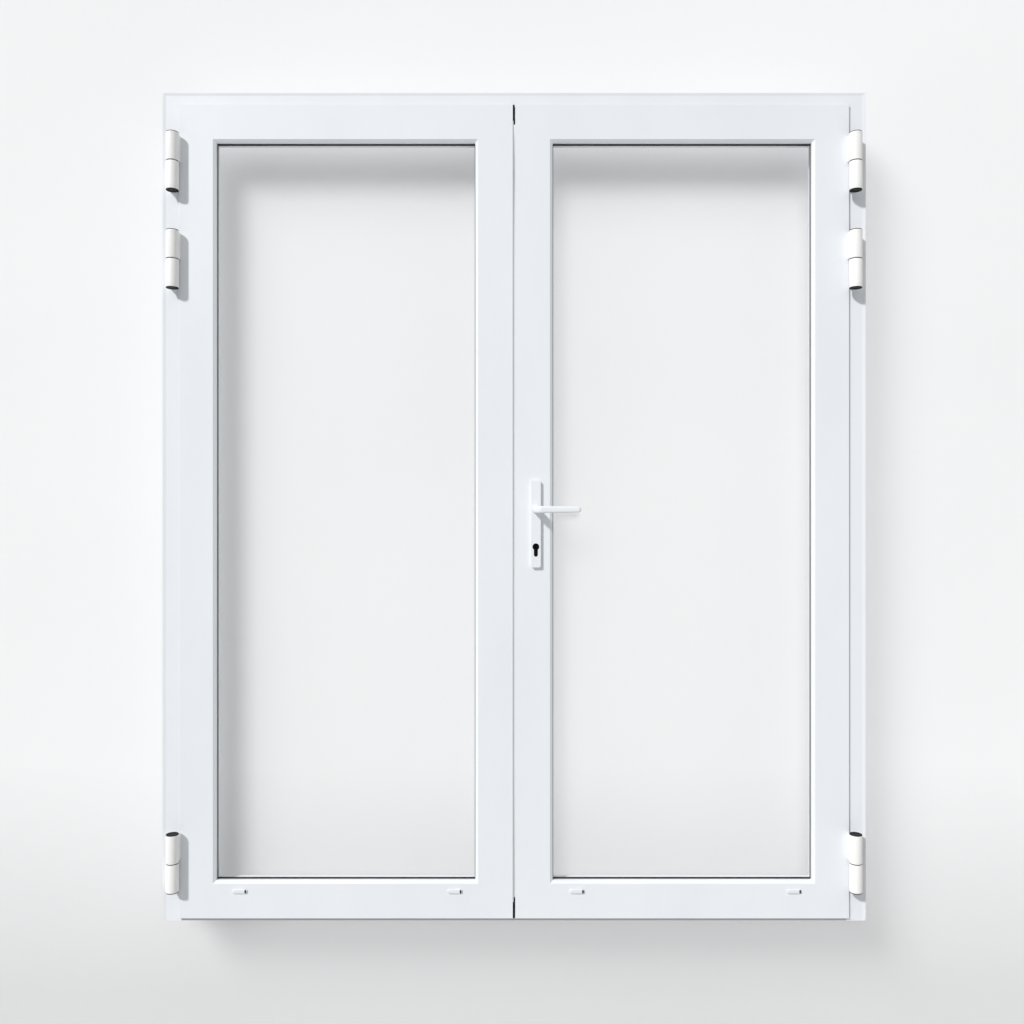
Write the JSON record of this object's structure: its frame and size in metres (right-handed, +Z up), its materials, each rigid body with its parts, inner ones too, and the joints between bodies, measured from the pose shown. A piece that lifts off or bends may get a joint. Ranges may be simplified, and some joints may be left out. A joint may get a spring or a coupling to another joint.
{
  "type": "casement window",
  "caption": "Two-leaf outward opening casement window with slim white frame, long-plate lever handle and barrel hinges.",
  "frame": {"origin": "middle of the underside of the outer frame, at half of the frame's depth", "axes": "+X to the right seen from outside, -Y towards the outside where the hinges are, +Z up"},
  "size_m": [1.75, 0.178, 2.06],
  "materials": {
    "powder_white": "satin powder coat",
    "mill_aluminium": "satin anodised",
    "zinc_steel": "bright zinc",
    "black_rubber": "matte",
    "stainless_steel": "satin brushed",
    "hinge_white": "satin powder coat, slightly warm",
    "black_nylon": "fine grain",
    "clear_glass": "clear float",
    "spacer_aluminium": "mill",
    "block_plastic": "moulded",
    "cover_plastic": "satin",
    "black_nickel": "black nickel"
  },
  "bodies": {
    "frame": {"frame_jamb_left": "powder_white", "frame_jamb_right": "powder_white", "frame_head": "powder_white", "threshold": "mill_aluminium", "threshold_screws": "zinc_steel", "frame_corner_cleats": "mill_aluminium", "frame_seals": "black_rubber", "threshold_seal": "black_rubber", "head_bolt_keep": "stainless_steel", "threshold_bolt_keep": "stainless_steel", "frame_knuckles_left": "hinge_white", "frame_knuckles_right": "hinge_white", "hinge_pins": "stainless_steel", "frame_knuckle_caps": "black_nylon", "frame_hinge_screws": "zinc_steel"},
    "left_leaf": {"left_hinge_stile": "powder_white", "left_meeting_stile": "powder_white", "left_top_rail": "powder_white", "left_bottom_rail": "powder_white", "left_corner_cleats": "mill_aluminium", "left_glass_panes": "clear_glass", "left_glass_spacer": "spacer_aluminium", "left_outer_gasket": "black_rubber", "left_inner_gasket": "black_rubber", "left_glazing_beads": "powder_white", "left_setting_blocks": "block_plastic", "left_sash_knuckles": "hinge_white", "left_knuckle_bushes": "black_nylon", "left_drain_covers": "cover_plastic", "meeting_profile": "powder_white", "meeting_end_caps": "black_nylon", "strike_plate": "stainless_steel", "flush_bolt_plates": "stainless_steel"},
    "right_leaf": {"right_hinge_stile": "powder_white", "right_meeting_stile": "powder_white", "right_top_rail": "powder_white", "right_bottom_rail": "powder_white", "right_corner_cleats": "mill_aluminium", "right_glass_panes": "clear_glass", "right_glass_spacer": "spacer_aluminium", "right_outer_gasket": "black_rubber", "right_inner_gasket": "black_rubber", "right_glazing_beads": "powder_white", "right_setting_blocks": "block_plastic", "right_sash_knuckles": "hinge_white", "right_knuckle_bushes": "black_nylon", "right_drain_covers": "cover_plastic", "lock_case": "zinc_steel", "lock_faceplate": "stainless_steel", "cylinder_body": "black_nickel", "handle_plates": "powder_white", "handle_screws": "zinc_steel"},
    "lever_set": {"levers": "powder_white", "spindle": "zinc_steel"},
    "latch": {"latch_bolt": "stainless_steel"},
    "dead_bolt": {"deadbolt": "stainless_steel"},
    "cylinder": {"cylinder_plug": "black_nickel"},
    "top_bolt": {"flush_bolt_top": "stainless_steel"},
    "bottom_bolt": {"flush_bolt_bottom": "stainless_steel"}
  },
  "joints": [
    {"name": "left_leaf_swing", "type": "hinge", "parent": "frame", "child": "left_leaf", "pos_m": [-0.841, -0.055, 1], "axis": [0, 0, -1], "range_deg": [0, 105]},
    {"name": "right_leaf_swing", "type": "hinge", "parent": "frame", "child": "right_leaf", "pos_m": [0.841, -0.055, 1], "axis": [0, 0, 1], "range_deg": [0, 105]},
    {"name": "lever_turn", "type": "hinge", "parent": "right_leaf", "child": "lever_set", "pos_m": [0.054, 0, 1.023], "axis": [0, 1, 0], "range_deg": [0, 40], "stiffness_Nm_per_rad": 1, "springref_deg": -34.38},
    {"name": "latch_slide", "type": "slide", "parent": "right_leaf", "child": "latch", "axis": [1, 0, 0], "range_m": [0, 0.0095]},
    {"name": "cylinder_turn", "type": "hinge", "parent": "right_leaf", "child": "cylinder", "pos_m": [0.054, 0, 0.931], "axis": [0, 1, 0], "range_deg": [0, 360]},
    {"name": "deadbolt_slide", "type": "slide", "parent": "right_leaf", "child": "dead_bolt", "axis": [-1, 0, 0], "range_m": [0, 0.0205]},
    {"name": "flush_bolt_top_slide", "type": "slide", "parent": "left_leaf", "child": "top_bolt", "axis": [0, 0, 1], "range_m": [0, 0.015]},
    {"name": "flush_bolt_bottom_slide", "type": "slide", "parent": "left_leaf", "child": "bottom_bolt", "axis": [0, 0, -1], "range_m": [0, 0.008]}
  ],
  "couplings": [
    {"joint": "latch_slide", "follows": "lever_turn", "m_per_rad": 0.0129},
    {"joint": "deadbolt_slide", "follows": "cylinder_turn", "m_per_rad": 0.00318}
  ]
}
